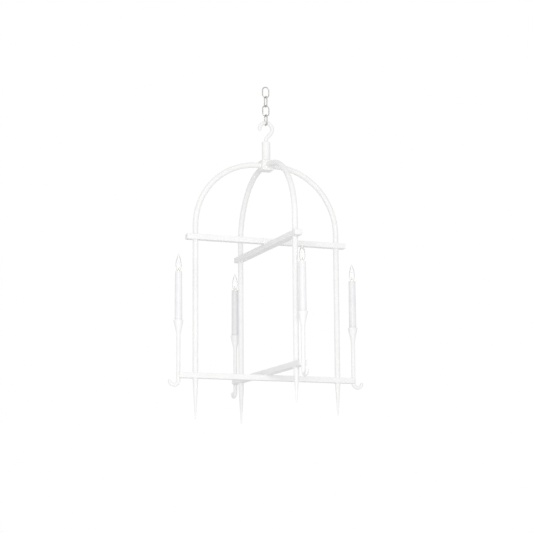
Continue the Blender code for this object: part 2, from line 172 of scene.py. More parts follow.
def domed(points, radii, tangents):
    # rings that round off the far end of a sweep, set along its own curve
    lengths = [0.0]
    for before, after in zip(points, points[1:]):
        lengths.append(lengths[-1] + (after - before).length)
    start = lengths[-1] - radii[-1]
    kept = [i for i, length in enumerate(lengths) if length < start - roundEnd["clear"]]
    newPoints, newRadii, newTangents = ([row[i] for i in kept] for row in (points, radii, tangents))
    for i in range(roundEnd["rings"] + 1):
        a = math.pi / 2 * i / (roundEnd["rings"] + roundEnd["openShare"])
        place = start + radii[-1] * math.sin(a)
        n = max(k for k, length in enumerate(lengths[:-1]) if length <= place)
        share = (place - lengths[n]) / (lengths[n + 1] - lengths[n])
        newPoints.append(points[n].lerp(points[n + 1], share))
        newTangents.append(tangents[n].lerp(tangents[n + 1], share).normalized())
        newRadii.append((radii[n] + (radii[n + 1] - radii[n]) * share) * math.cos(a))
    return newPoints, newRadii, newTangents


edgeShare = 0.49  # the most of an edge that one rounded corner takes


def softened(corners, radius, steps=4, closed=False):
    # profile with each corner rounded; a corner is (radius, height) and may add its own rounding
    result = []
    count = len(corners)
    for i, corner in enumerate(corners):
        here = Vector(corner[:2])
        soft = corner[2] if len(corner) > 2 else radius
        if (not closed and i in (0, count - 1)) or soft <= 0:
            result.append(here)
            continue
        before = Vector(corners[i - 1][:2]) - here
        after = Vector(corners[(i + 1) % count][:2]) - here
        reach = min(soft, before.length * edgeShare, after.length * edgeShare)
        a = here + before.normalized() * reach
        b = here + after.normalized() * reach
        for k in range(steps + 1):
            t = k / steps
            result.append(a * (1 - t) ** 2 + here * 2 * t * (1 - t) + b * t * t)
    return result


def threadRise(thread, height, angle):
    # how far a screw thread, (pitch, depth, low, high), stands out; it fades in over one pitch
    pitch, depth, low, high = thread
    if not low < height < high:
        return 0
    fade = min(1, (height - low) / pitch, (high - height) / pitch)
    return depth * fade * math.sin(2 * math.pi * height / pitch - angle)


onAxis = 1e-7  # a ring narrower than this is one point on the axis


def turn(bm, profile, center, steps, closed=False, wave=0.0, waveSize=0.02, thread=None):
    # surface of revolution about a vertical axis
    rings = []
    for radius, height in profile:
        if radius < onAxis:
            rings.append([bm.verts.new(Vector(center) + Vector((0, 0, height)))] * steps)
            continue
        ring = []
        for k in range(steps):
            a = 2 * math.pi * k / steps
            r = radius + (threadRise(thread, height, a) if thread else 0)
            out = Vector((math.cos(a), math.sin(a), 0))
            spot = Vector(center) + out * r + Vector((0, 0, height))
            ring.append(bm.verts.new(spot + out * unevenness(spot, waveSize, wave)))
        rings.append(ring)
    pairs = list(zip(rings, rings[1:]))
    if closed:
        pairs.append((rings[-1], rings[0]))
    for upper, lower in pairs:
        for k in range(steps):
            n = (k + 1) % steps
            corners = []
            for vert in (upper[k], upper[n], lower[n], lower[k]):
                if vert not in corners:
                    corners.append(vert)
            if len(corners) > 2:
                bm.faces.new(corners)


def beam(bm, low, high, edge, cuts, wave, waveSize):
    # box between two corners with rounded edges, cut across its length
    size = Vector(high) - Vector(low)
    bmesh.ops.create_cube(bm, size=1)
    bmesh.ops.scale(bm, vec=size, verts=bm.verts)
    bmesh.ops.translate(bm, vec=(Vector(low) + Vector(high)) / 2, verts=bm.verts)
    bmesh.ops.bevel(bm, geom=list(bm.edges), offset=edge, offset_type="OFFSET", segments=4,
                    profile=0.5, affect="EDGES")
    axis = max(range(3), key=lambda i: size[i])
    for i in range(1, cuts):
        place = Vector((0, 0, 0))
        place[axis] = low[axis] + size[axis] * i / cuts
        normal = Vector((0, 0, 0))
        normal[axis] = 1
        bmesh.ops.bisect_plane(bm, geom=bm.verts[:] + bm.edges[:] + bm.faces[:], plane_co=place,
                               plane_no=normal)
    bm.normal_update()
    for vert in bm.verts:
        vert.co += vert.normal * unevenness(vert.co, waveSize, wave)


drill = {"sides": 56, "room": 0.0001, "weld": 0.00001}  # room is left round a rod in its hole


def drilled(obj, holes):
    # cut round holes, each (center, axis, radius, length), apply them and weld the slivers away
    cutters = []
    for i, (center, axis, radius, length) in enumerate(holes):
        bm = bmesh.new()
        wide = radius + drill["room"]
        bmesh.ops.create_cone(bm, cap_ends=True, segments=drill["sides"], radius1=wide, radius2=wide,
                              depth=length, matrix=stoodOn(center, axis))
        mesh = bpy.data.meshes.new(f"{obj.name}_cut_{i}")
        bm.to_mesh(mesh)
        bm.free()
        cutter = bpy.data.objects.new(mesh.name, mesh)
        bpy.context.scene.collection.objects.link(cutter)
        boolean = obj.modifiers.new(f"cut_{i}", "BOOLEAN")
        boolean.operation = "DIFFERENCE"
        boolean.solver = "EXACT"
        boolean.object = cutter
        cutters.append(cutter)
    bpy.context.view_layer.update()
    cutMesh = bpy.data.meshes.new_from_object(obj.evaluated_get(bpy.context.evaluated_depsgraph_get()))
    bm = bmesh.new()
    bm.from_mesh(cutMesh)
    bmesh.ops.remove_doubles(bm, verts=bm.verts, dist=drill["weld"])
    bmesh.ops.dissolve_degenerate(bm, edges=bm.edges, dist=drill["weld"])
    bm.to_mesh(cutMesh)
    bm.free()
    obj.modifiers.clear()
    obj.data = cutMesh
    for cutter in cutters:
        bpy.data.objects.remove(cutter, do_unlink=True)


# material helpers

noiseSpan = (0.3, 0.7)  # where most of a noise lies


def newMaterial(name, color, roughness, metallic=0.0):
    material = bpy.data.materials.new(name)
    material.use_nodes = True
    shader = material.node_tree.nodes["Principled BSDF"]
    shader.inputs["Base Color"].default_value = (*color, 1)
    shader.inputs["Roughness"].default_value = roughness
    shader.inputs["Metallic"].default_value = metallic
    return material, material.node_tree, shader


def surfaceNoise(tree, scale, detail, stretch=(1, 1, 1), rough=0.55):
    # noise on the piece's own coordinates, scale in lumps per metre
    coordinates = tree.nodes.new("ShaderNodeTexCoord")
    mapping = tree.nodes.new("ShaderNodeMapping")
    mapping.inputs["Scale"].default_value = stretch
    texture = tree.nodes.new("ShaderNodeTexNoise")
    texture.inputs["Scale"].default_value = scale
    texture.inputs["Detail"].default_value = detail
    texture.inputs["Roughness"].default_value = rough
    tree.links.new(coordinates.outputs["Object"], mapping.inputs["Vector"])
    tree.links.new(mapping.outputs["Vector"], texture.inputs["Vector"])
    return texture.outputs["Fac"]


def colorRamp(tree, value, stops):
    ramp = tree.nodes.new("ShaderNodeValToRGB")
    for i, (place, color) in enumerate(stops):
        stop = ramp.color_ramp.elements[i] if i < 2 else ramp.color_ramp.elements.new(place)
        stop.position = place
        stop.color = (*color, 1)
    tree.links.new(value, ramp.inputs["Fac"])
    return ramp.outputs["Color"]


def alongHeight(tree, stops):
    # shade from the foot of a piece, 0, to its top, 1
    coordinates = tree.nodes.new("ShaderNodeTexCoord")
    split = tree.nodes.new("ShaderNodeSeparateXYZ")
    tree.links.new(coordinates.outputs["Generated"], split.inputs["Vector"])
    return colorRamp(tree, split.outputs["Z"], stops)


def between(tree, value, low, high):
    spread = tree.nodes.new("ShaderNodeMapRange")
    spread.inputs["From Min"].default_value = noiseSpan[0]
    spread.inputs["From Max"].default_value = noiseSpan[1]
    spread.inputs["To Min"].default_value = low
    spread.inputs["To Max"].default_value = high
    tree.links.new(value, spread.inputs["Value"])
    return spread.outputs["Result"]


def addBump(tree, shader, layers):
    # layers of (height, strength, distance), each on top of the last
    normal = None
    for height, strength, distance in layers:
        bump = tree.nodes.new("ShaderNodeBump")
        bump.inputs["Strength"].default_value = strength
        bump.inputs["Distance"].default_value = distance
        tree.links.new(height, bump.inputs["Height"])
        if normal:
            tree.links.new(normal, bump.inputs["Normal"])
        normal = bump.outputs["Normal"]
    tree.links.new(normal, shader.inputs["Normal"])


def plasterPaint(name, paint):
    # matt white paint over a thin plaster coat: soft lumps, brush grain and a faint drift of tone
    material, tree, shader = newMaterial(name, paint["color"], paint["roughness"])
    lumps = surfaceNoise(tree, paint["lumpsPerMetre"], detail=3)
    grain = surfaceNoise(tree, paint["grainPerMetre"], detail=6, rough=0.65)
    tone = surfaceNoise(tree, paint["tonePerMetre"], detail=4)
    shaded = tuple(c * paint["shade"] for c in paint["color"])
    drift = colorRamp(tree, tone, [(paint["shadedBelow"], shaded), (paint["plainAbove"], paint["color"])])
    tree.links.new(drift, shader.inputs["Base Color"])
    low, high = paint["roughness"] - paint["glossier"], paint["roughness"] + paint["duller"]
    tree.links.new(between(tree, grain, low, high), shader.inputs["Roughness"])
    addBump(tree, shader, [(lumps, *paint["lumpBump"]), (grain, *paint["grainBump"])])
    return material


# each bump is (strength, depth)
rodPaint = {"color": (0.874, 0.873, 0.871), "shade": 0.965, "shadedBelow": 0.3, "plainAbove": 0.62,
            "roughness": 0.58, "glossier": 0.06, "duller": 0.08, "tonePerMetre": 26,
            "lumpsPerMetre": 180, "lumpBump": (0.6, 0.0008),
            "grainPerMetre": 1400, "grainBump": (0.45, 0.00015)}
barPaint = dict(rodPaint, color=(0.872, 0.87, 0.87), lumpsPerMetre=140, tonePerMetre=20)
hubPaint = dict(rodPaint, lumpsPerMetre=160, tonePerMetre=34)
cupPaint = dict(rodPaint, color=(0.878, 0.877, 0.875), roughness=0.5, lumpsPerMetre=220)

rodFinish = plasterPaint("rod_paint", rodPaint)
barFinish = plasterPaint("bar_paint", barPaint)
hubFinish = plasterPaint("hub_paint", hubPaint)
cupFinish = plasterPaint("cup_paint", cupPaint)


def sleeveFinish(side):
    # satin tube with a faint cool tint and fine lengthwise drawing marks; the right and back sleeves carry
    # painted shade, a greyer copy of the same satin
    look = {"color": (0.845, 0.843, 0.856), "shaded": (0.815, 0.813, 0.828),
            # painted shade: the tone per side darkens the right and back sleeves, which are the same part
            # as the others
            "tone": {"right": 0.975, "back": 0.93, "left": 1, "front": 1},
            "shadedBelow": 0.35, "plainAbove": 0.65, "roughness": 0.42, "glossiest": 0.36, "dullest": 0.5,
            "marksPerMetre": 260, "marksStretch": (6, 6, 0.35), "marksBump": (0.2, 0.00006),
            "cloudPerMetre": 34, "cloudBump": (0.15, 0.0002)}
    color = tuple(c * look["tone"][side] for c in look["color"])
    shaded = tuple(c * look["tone"][side] for c in look["shaded"])
    material, tree, shader = newMaterial("candle_sleeve_satin_side_shade_" + side, color, look["roughness"])
    marks = surfaceNoise(tree, look["marksPerMetre"], detail=4, stretch=look["marksStretch"])
    cloud = surfaceNoise(tree, look["cloudPerMetre"], detail=3)
    clouded = colorRamp(tree, cloud, [(look["shadedBelow"], shaded), (look["plainAbove"], color)])
    tree.links.new(clouded, shader.inputs["Base Color"])
    tree.links.new(between(tree, marks, look["glossiest"], look["dullest"]), shader.inputs["Roughness"])
    addBump(tree, shader, [(marks, *look["marksBump"]), (cloud, *look["cloudBump"])])
    return material


metal = {"cloudPerMetre": 150, "darkBelow": 0.32, "plainAbove": 0.66, "glossier": 0.75, "duller": 1.4,
         "scratchRough": 0.7, "scratchBump": (0.16, 0.00004), "cloudBump": (0.1, 0.0001)}


def metalFinish(name, color, dark, roughness, scratches=900, stretch=(1, 1, 1)):
    # bare metal, clouded towards a darker tone and finely scratched
    material, tree, shader = newMaterial(name, color, roughness, 1.0)
    cloud = surfaceNoise(tree, metal["cloudPerMetre"], detail=5)
    scratch = surfaceNoise(tree, scratches, detail=6, stretch=stretch, rough=metal["scratchRough"])
    clouded = colorRamp(tree, cloud, [(metal["darkBelow"], dark), (metal["plainAbove"], color)])
    tree.links.new(clouded, shader.inputs["Base Color"])
    low, high = roughness * metal["glossier"], roughness * metal["duller"]
    tree.links.new(between(tree, scratch, low, high), shader.inputs["Roughness"])
    addBump(tree, shader, [(scratch, *metal["scratchBump"]), (cloud, *metal["cloudBump"])])
    return material


def insulatorFinish():
    # moulded thermoplastic of a lamp socket, with a fine orange-peel
    look = {"color": (0.80, 0.78, 0.72), "dark": (0.75, 0.73, 0.66), "pale": (0.82, 0.80, 0.74),
            "darkBelow": 0.3, "paleAbove": 0.7, "roughness": 0.4, "glossiest": 0.34, "dullest": 0.48,
            "cloudPerMetre": 90, "peelPerMetre": 900, "peelBump": (0.2, 0.00005)}
    material, tree, shader = newMaterial("socket_moulding", look["color"], look["roughness"])
    peel = surfaceNoise(tree, look["peelPerMetre"], detail=3)
    cloud = surfaceNoise(tree, look["cloudPerMetre"], detail=4)
    clouded = colorRamp(tree, cloud, [(look["darkBelow"], look["dark"]), (look["paleAbove"], look["pale"])])
    tree.links.new(clouded, shader.inputs["Base Color"])
    tree.links.new(between(tree, peel, look["glossiest"], look["dullest"]), shader.inputs["Roughness"])
    addBump(tree, shader, [(peel, *look["peelBump"])])
    return material


glassIor = 1.3  # kept low, so that the bulbs stay as clear as thin blown glass


def glassFinish():
    # clear bulb glass with a painted reflection: its rim is painted darker than its middle where the glass
    # turns away, most of all towards the drawn-out tip
    look = {"clear": (0.995, 0.995, 0.993), "footRim": (0.52, 0.52, 0.525), "tipRim": (0.16, 0.16, 0.165),
            "footEdge": (0.3, 0.78), "tipEdge": (0.25, 0.72), "tipFrom": 0.4, "tipFull": 0.72,
            "roughness": 0.02, "ripplePerMetre": 120, "rippleBump": (0.03, 0.0001)}
    material, tree, shader = newMaterial("bulb_clear_glass", (1, 1, 1), look["roughness"])
    shader.inputs["Transmission Weight"].default_value = 1.0
    shader.inputs["IOR"].default_value = glassIor
    facing = tree.nodes.new("ShaderNodeLayerWeight")
    facing.inputs["Blend"].default_value = 0.5
    # painted reflection: these colours darken the glass where it turns away from the ray, more towards the
    # tip
    paintedRimShades = []
    for part in ("foot", "tip"):
        start, end = look[part + "Edge"]
        stops = [(start, look["clear"]), (end, look[part + "Rim"])]
        paintedRimShades.append(colorRamp(tree, facing.outputs["Facing"], stops))
    mix = tree.nodes.new("ShaderNodeMixRGB")
    towardsTip = alongHeight(tree, [(look["tipFrom"], (0, 0, 0)), (look["tipFull"], (1, 1, 1))])
    tree.links.new(towardsTip, mix.inputs["Fac"])
    tree.links.new(paintedRimShades[0], mix.inputs["Color1"])
    tree.links.new(paintedRimShades[1], mix.inputs["Color2"])
    tree.links.new(mix.outputs["Color"], shader.inputs["Base Color"])
    ripple = surfaceNoise(tree, look["ripplePerMetre"], detail=2)
    tree.links.new(between(tree, ripple, 0.0, look["roughness"]), shader.inputs["Roughness"])
    addBump(tree, shader, [(ripple, *look["rippleBump"])])
    return material


def mountFinish():
    # thick glass in the foot of the bulb, painted warm towards its bottom: a painted reflection of the
    # brass cap under it
    look = {"capReflection": (0.99, 0.905, 0.80), "pale": (0.995, 0.955, 0.90), "capReflectionBelow": 0.1, "paleAbove": 0.9,
            "clearness": 0.85, "roughness": 0.12, "glossiest": 0.06, "dullest": 0.2,
            "ripplePerMetre": 400, "rippleBump": (0.1, 0.0001)}
    material, tree, shader = newMaterial("bulb_mount_glass", look["pale"], look["roughness"])
    shader.inputs["Transmission Weight"].default_value = look["clearness"]
    shader.inputs["IOR"].default_value = glassIor
    # painted reflection: the warm colour of the cap is painted on low down, fading to pale above
    tone = alongHeight(tree, [(look["capReflectionBelow"], look["capReflection"]), (look["paleAbove"], look["pale"])])
    tree.links.new(tone, shader.inputs["Base Color"])
    ripple = surfaceNoise(tree, look["ripplePerMetre"], detail=3)
    tree.links.new(between(tree, ripple, look["glossiest"], look["dullest"]), shader.inputs["Roughness"])
    addBump(tree, shader, [(ripple, *look["rippleBump"])])
    return material


def chainFinish():
    # pale nickel plating with a dull cloud; the bows where links bear take an even tone that stands for
    # wear and for painted shade where the links touch
    look = {"bright": (0.60, 0.595, 0.587), "dull": (0.41, 0.405, 0.398), "wornAndShaded": (0.50, 0.493, 0.483),
            "dullBelow": 0.34, "brightAbove": 0.6, "bow": (0.05, 0.15),
            "roughness": 0.3, "glossiest": 0.22, "dullest": 0.42,
            "cloudPerMetre": 260, "scratchPerMetre": 1100, "scratchStretch": (1, 1, 0.4)}
    material, tree, shader = newMaterial("chain_nickel", look["bright"], look["roughness"], 1.0)
    cloud = surfaceNoise(tree, look["cloudPerMetre"], detail=5)
    scratch = surfaceNoise(tree, look["scratchPerMetre"], detail=6, stretch=look["scratchStretch"],
                           rough=metal["scratchRough"])
    full, none = look["bow"]
    bow = alongHeight(tree, [(full, (1, 1, 1)), (none, (0, 0, 0)),
                             (1 - none, (0, 0, 0)), (1 - full, (1, 1, 1))])
    stops = [(look["dullBelow"], look["dull"]), (look["brightAbove"], look["bright"])]
    plating = colorRamp(tree, cloud, stops)
    # wear and painted shade: the bows take the even tone where one link bears on the next
    mix = tree.nodes.new("ShaderNodeMixRGB")
    tree.links.new(bow, mix.inputs["Fac"])
    tree.links.new(plating, mix.inputs["Color1"])
    mix.inputs["Color2"].default_value = (*look["wornAndShaded"], 1)
    tree.links.new(mix.outputs["Color"], shader.inputs["Base Color"])
    tree.links.new(between(tree, scratch, look["glossiest"], look["dullest"]), shader.inputs["Roughness"])
    addBump(tree, shader, [(scratch, *metal["scratchBump"]), (cloud, *metal["cloudBump"])])
    return material


# one satin per side, the right and back ones darkened as painted shade
sleeveSatinShadedBySide = {side: sleeveFinish(side) for side in sides}
nickel = chainFinish()
capBrass = metalFinish("cap_pale_brass", (0.86, 0.78, 0.68), (0.72, 0.63, 0.53), 0.28)
brass = metalFinish("cap_brass", (0.72, 0.50, 0.26), (0.58, 0.38, 0.18), 0.26)
zinc = metalFinish("riser_zinc", (0.56, 0.56, 0.57), (0.46, 0.46, 0.47), 0.34, 500, (1, 1, 0.1))
tungsten = metalFinish("filament_metal", (0.62, 0.60, 0.56), (0.44, 0.42, 0.39), 0.3)
moulding = insulatorFinish()
clearGlass = glassFinish()
mountGlass = mountFinish()
print("finishes ready")


# forged rods of the cage

legs = {"bendRadius": 0.2234, "pointDrop": 0.0014, "tipRadius": 0.002, "wave": 0.00016, "waveSize": 0.035,
        "sides": 40, "rootSteps": 4, "arcSteps": 60, "legSteps": 60, "taperSteps": 40}


def buildLeg(side):
    # out of the hub, round the shoulder, down the leg and into its long point
    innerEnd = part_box("leg_right")[0].x
    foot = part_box("leg_" + side)[0].z
    spring = hubCenter - legs["bendRadius"]
    run = legRadius - legs["bendRadius"]
    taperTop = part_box("lower_bar_x")[0].z - legs["pointDrop"]
    tipRadius = legs["tipRadius"]
    path = linePoints((innerEnd, 0, hubCenter), (run, 0, hubCenter), legs["rootSteps"])[:-1]
    path += arcPoints((run, spring), legs["bendRadius"], 90, 0, legs["arcSteps"])
    path += linePoints((legRadius, 0, spring), (legRadius, 0, taperTop), legs["legSteps"])[1:]
    path += linePoints((legRadius, 0, taperTop), (legRadius, 0, foot), legs["taperSteps"])[1:]
    radii = []
    for p in path:
        share = min((p.z - foot) / (taperTop - foot), 1)
        radii.append(tipRadius + (rodRadius - tipRadius) * share)
    path = [turnedTo(side, p) for p in path]
    bm = bmesh.new()
    sweep(bm, path, radii, legs["sides"], rounded=True, wave=legs["wave"], waveSize=legs["waveSize"])
    newObject("forged_rod_" + side, bm, rodFinish, "lantern", ["leg_" + side])


for side in sides:
    buildLeg(side)
print("rods built")


# flat cross bars

bars = {"edge": 0.0014, "cuts": 36, "wave": 0.00022, "waveSize": 0.05, "drillThrough": 3}


def buildBar(node):
    low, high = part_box(node)
    bm = bmesh.new()
    beam(bm, low, high, bars["edge"], bars["cuts"], bars["wave"], bars["waveSize"])
    bar = newObject("flat_" + node, bm, barFinish, "lantern", [node])
    along = Vector((1, 0, 0)) if "_x" in node else Vector((0, 1, 0))
    center = Vector((0, 0, (low.z + high.z) / 2))
    through = bars["drillThrough"] * (high.z - low.z)
    holes = []
    for sign in (-1, 1):
        holes.append((center + along * sign * legRadius, upward, rodRadius, through))
        if node.startswith("lower"):
            holes.append((center + along * sign * armRadius, upward, armRodRadius, through))
    drilled(bar, holes)
    dress(bar, barFinish, "lantern")


for node in ("upper_bar_x", "upper_bar_y", "lower_bar_x", "lower_bar_y"):
    buildBar(node)
print("bars built")


# hub, stem and ring hook

hub = {"edge": 0.0018, "cuts": 10, "wave": 0.0002, "waveSize": 0.02, "socketRoom": 0.0003}


def buildHub():
    low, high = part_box("hub")
    bm = bmesh.new()
    beam(bm, low, high, hub["edge"], hub["cuts"], hub["wave"], hub["waveSize"])
    block = newObject("hub_block", bm, hubFinish, "lantern", ["hub"])
    depth = high.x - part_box("leg_right")[0].x + hub["socketRoom"]
    holes = []
    for side in sides:
        face, outward = turnedTo(side, (high.x, 0, hubCenter)), turnedTo(side, (1, 0, 0))
        holes.append((face, outward, rodRadius, 2 * depth))
    drilled(block, holes)
    dress(block, hubFinish, "lantern")


stem = {"dome": 0.0028, "shoulderOut": 0.72, "shoulderDown": 0.45, "rise": 0.0006, "bite": 0.0004,
        "fillet": 0.0012, "foot": 0.0016, "sink": 0.0003, "softness": 0.0015, "sides": 64,
        "wave": 0.00012, "waveSize": 0.02}


def buildStem():
    # post with a domed top, paint drawn up round the wire and a narrow foot that sinks into the hub
    low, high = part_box("stem")
    radius = (high.x - low.x) / 2
    height = high.z - low.z
    dome, rise, sink = stem["dome"], stem["rise"], stem["sink"]
    foot = radius - stem["foot"]
    corners = [(hookWire - stem["bite"], height + rise, 0), (hookWire + stem["fillet"], height - sink),
               (radius * stem["shoulderOut"], height - dome * stem["shoulderDown"]),
               (radius, height - dome, 0.0012), (radius, 0.002),
               (foot, 0.0004, 0.0004), (foot, -sink, 0), (0, -sink, 0)]
    profile = [(0, height + rise)] + softened(corners, stem["softness"])
    bm = bmesh.new()
    turn(bm, profile, (0, 0, low.z), stem["sides"], wave=stem["wave"], waveSize=stem["waveSize"])
    newObject("stem_post", bm, hubFinish, "lantern", ["stem"])


ring = {"radius": 0.0225, "neckBend": 0.012, "lean": 42, "shank": 0.0055, "endAngle": 197, "sides": 32,
        "neckSteps": 8, "bendSteps": 10, "ringSteps": 72, "wave": 0.00012, "waveSize": 0.012}


def buildHook():
    # neck bent over to one side, then the open ring with a rounded end
    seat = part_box("top_hook")[0].z
    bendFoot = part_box("stem")[1].z + ring["shank"]
    lean = math.radians(ring["lean"])
    bend, radius = ring["neckBend"], ring["radius"]
    center = bendFoot + bend * math.tan(lean / 2) + radius / math.sin(lean)
    path = linePoints((0, 0, seat), (0, 0, bendFoot), ring["neckSteps"])[:-1]
    path += arcPoints((bend, bendFoot), bend, 180, 180 - ring["lean"], ring["bendSteps"])
    joint = arcPoints((0, center), radius, -ring["lean"], ring["endAngle"], ring["ringSteps"])
    path += linePoints(path[-1], joint[0], ring["neckSteps"])[1:-1] + joint
    bm = bmesh.new()
    sweep(bm, path, hookWire, ring["sides"], rounded=True, wave=ring["wave"], waveSize=ring["waveSize"])
    newObject("ring_hook", bm, rodFinish, "lantern", ["top_hook"])


buildHub()
buildStem()
buildHook()
print("hub, stem and hook built")


# paint pooled in the corners where rods and bars meet

pool = {"size": 0.0024, "root": 0.0008, "steps": 5, "sides": 40, "mouthCut": 0.0004,
        "bead": 0.0019, "beadSides": 12, "beadSteps": 10, "wave": 0.0003, "waveSize": 0.006}


def addPool(bm, center, axis, radius):
    # concave ring round a rod where it leaves a flat face
    known = set(bm.verts)
    size, root = pool["size"], pool["root"]
    profile = [(radius - root, size), (radius - root, -root), (radius + size, -root)]
    for i in range(pool["steps"] + 1):
        a = math.radians(270 - 90 * i / pool["steps"])
        profile.append((radius + size * (1 + math.cos(a)), size * (1 + math.sin(a))))
    turn(bm, profile, (0, 0, 0), pool["sides"], closed=True, wave=pool["wave"], waveSize=pool["waveSize"])
    added = [vert for vert in bm.verts if vert not in known]
    bmesh.ops.transform(bm, matrix=stoodOn(center, axis), verts=added)


def barAt(level, side):
    return level + ("_bar_x" if side in ("right", "left") else "_bar_y")


def buildPools():
    bm = bmesh.new()
    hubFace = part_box("hub")[1].x
    for side in sides:
        for level in ("upper", "lower"):
            low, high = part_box(barAt(level, side))
            for height, axis in ((high.z, upward), (low.z, downward)):
                addPool(bm, turnedTo(side, (legRadius, 0, height)), axis, rodRadius)
        addPool(bm, turnedTo(side, (hubFace, 0, hubCenter)), turnedTo(side, (1, 0, 0)), rodRadius)
    newObject("paint_pools", bm, rodFinish, "lantern")


def buildMouthPools(side):
    # half rings where an arm sits in the open mouth of its bar
    low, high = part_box(barAt("lower", side))
    bm = bmesh.new()
    for height, axis in ((high.z, upward), (low.z, downward)):
        addPool(bm, (armRadius, 0, height), axis, armRodRadius)
    bmesh.ops.bisect_plane(bm, geom=bm.verts[:] + bm.edges[:] + bm.faces[:], clear_outer=True,
                           plane_co=(armRadius - pool["mouthCut"], 0, 0), plane_no=(1, 0, 0))
    bmesh.ops.holes_fill(bm, edges=bm.edges[:], sides=0)
    bmesh.ops.rotate(bm, cent=(0, 0, 0), matrix=sideTurn(side).to_3x3(), verts=bm.verts)
    newObject("mouth_pools_" + side, bm, rodFinish, "lantern")


def buildCrossingBead(name, lowerNode):
    # bead of paint round the crossing of two flat bars
    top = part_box(lowerNode)[1].z
    half = extent("upper_bar_x").y / 2
    corners = [Vector((half * x, half * y, top)) for x, y in ((1, 1), (-1, 1), (-1, -1), (1, -1))]
    bm = bmesh.new()
    for i, corner in enumerate(corners):
        edge = linePoints(corner, corners[(i + 1) % 4], pool["beadSteps"])
        sweep(bm, edge, pool["bead"], pool["beadSides"], wave=pool["wave"], waveSize=pool["waveSize"])
    newObject(name, bm, barFinish, "lantern")


buildPools()
for side in sides:
    buildMouthPools(side)
buildCrossingBead("upper_crossing_bead", "upper_bar_y")
buildCrossingBead("lower_crossing_bead", "lower_bar_x")
print("pools of paint built")


# chain links

link = {"bowSteps": 24, "halfSteps": 6, "backSteps": 8, "sides": 22, "slit": 0.0005, "slitEdge": 0.93}


def buildLink(number):
    # one wire bent round two bows, from one edge of the slit to the other
    node = f"chain_link_{number}"
    low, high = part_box(node)
    across, through = high.x - low.x, high.y - low.y
    wire = min(across, through) / 2
    bow = max(across, through) / 2 - wire
    top, bottom = high.z - wire - bow, low.z + wire + bow
    slitHeight, slit = (top + bottom) / 2, link["slit"] / 2
    path = linePoints((bow, 0, slitHeight + slit), (bow, 0, top), link["halfSteps"])[:-1]
    path += arcPoints((0, top), bow, 0, 180, link["bowSteps"])
    path += linePoints((-bow, 0, top), (-bow, 0, bottom), link["backSteps"])[1:-1]
    path += arcPoints((0, bottom), bow, 180, 360, link["bowSteps"])
    path += linePoints((bow, 0, bottom), (bow, 0, slitHeight - slit), link["halfSteps"])[1:]
    if across < through:
        path = [turnedTo("back", p) for p in path]
    radii = [wire] * len(path)
    radii[0] = radii[-1] = wire * link["slitEdge"]
    bm = bmesh.new()
    sweep(bm, path, radii, link["sides"])
    newObject(f"bent_link_{number}", bm, nickel, node, [node])


for number in range(1, 5):
    buildLink(number)
print("chain built")


# candle arms, cups and sleeves

arm = {"curlRadius": 0.0152, "curlEnd": 368, "curlDrop": 0.89, "tipShare": 0.778, "sides": 32,
       "straightSteps": 44, "curlSteps": 50, "wave": 0.00012, "waveSize": 0.025}


def buildArm(side):
    # straight down from the cup, then curled outwards and up, thinner towards its end
    low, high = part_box("candle_arm_" + side)
    center = low.z + arm["curlRadius"] + armRodRadius * arm["curlDrop"]
    path = linePoints((armRadius, 0, high.z), (armRadius, 0, center), arm["straightSteps"])[:-1]
    path += arcPoints((armRadius + arm["curlRadius"], center), arm["curlRadius"], 180, arm["curlEnd"],
                      arm["curlSteps"])
    start = len(path) - arm["curlSteps"] - 1
    radii = []
    for i in range(len(path)):
        share = max(0, (i - start) / arm["curlSteps"])
        radii.append(armRodRadius * (1 - (1 - arm["tipShare"]) * share))
    path = [turnedTo(side, p) for p in path]
    bm = bmesh.new()
    sweep(bm, path, radii, arm["sides"], rounded=True, wave=arm["wave"], waveSize=arm["waveSize"])
    newObject("curled_arm_" + side, bm, rodFinish, "lantern", ["candle_arm_" + side])


cup = {"lip": 0.0018, "floorDepth": 0.005, "curve": 1.08, "neckStep": 0.0003, "collar": 0.0022,
       "rimWall": 0.0012, "sleeveRoom": 0.0005, "riserRoom": 0.0003, "softness": 0.0004,
       "steps": 16, "sides": 56, "wave": 0.0001, "waveSize": 0.02}


def buildCup(side):
    # trumpet that holds the foot of the sleeve, narrowed to a collar on the arm
    low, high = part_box("candle_cup_right")
    rim = (high.x - low.x) / 2
    height = high.z - low.z
    floor, soft = height - cup["floorDepth"], cup["softness"]
    neck = armRodRadius + cup["neckStep"]
    sleeveFoot = extent("candle_sleeve_right").x / 2 + cup["sleeveRoom"]
    bore = extent("socket_riser_right").x / 2 + cup["riserRoom"]
    corners = [(bore, floor, soft), (bore, 0, 0), (neck - 0.0004, -cup["collar"], 0)]
    for i in range(cup["steps"] + 1):
        s = i / cup["steps"]
        corners.append((neck + (rim - neck) * s ** cup["curve"], (height - cup["lip"]) * s, 0.0003))
    corners += [(rim, height, 0.0007), (rim - cup["rimWall"], height, 0.0005), (sleeveFoot, floor, soft)]
    bm = bmesh.new()
    turn(bm, softened(corners, soft, closed=True), candleSpot(side, low.z), cup["sides"], closed=True,
         wave=cup["wave"], waveSize=cup["waveSize"])
    newObject("trumpet_cup_" + side, bm, cupFinish, "lantern", ["candle_cup_" + side])


sleeve = {"topWall": 0.0012, "middleExtra": 0.0004, "boreRoom": 0.0005, "softness": 0.0005, "sides": 56}


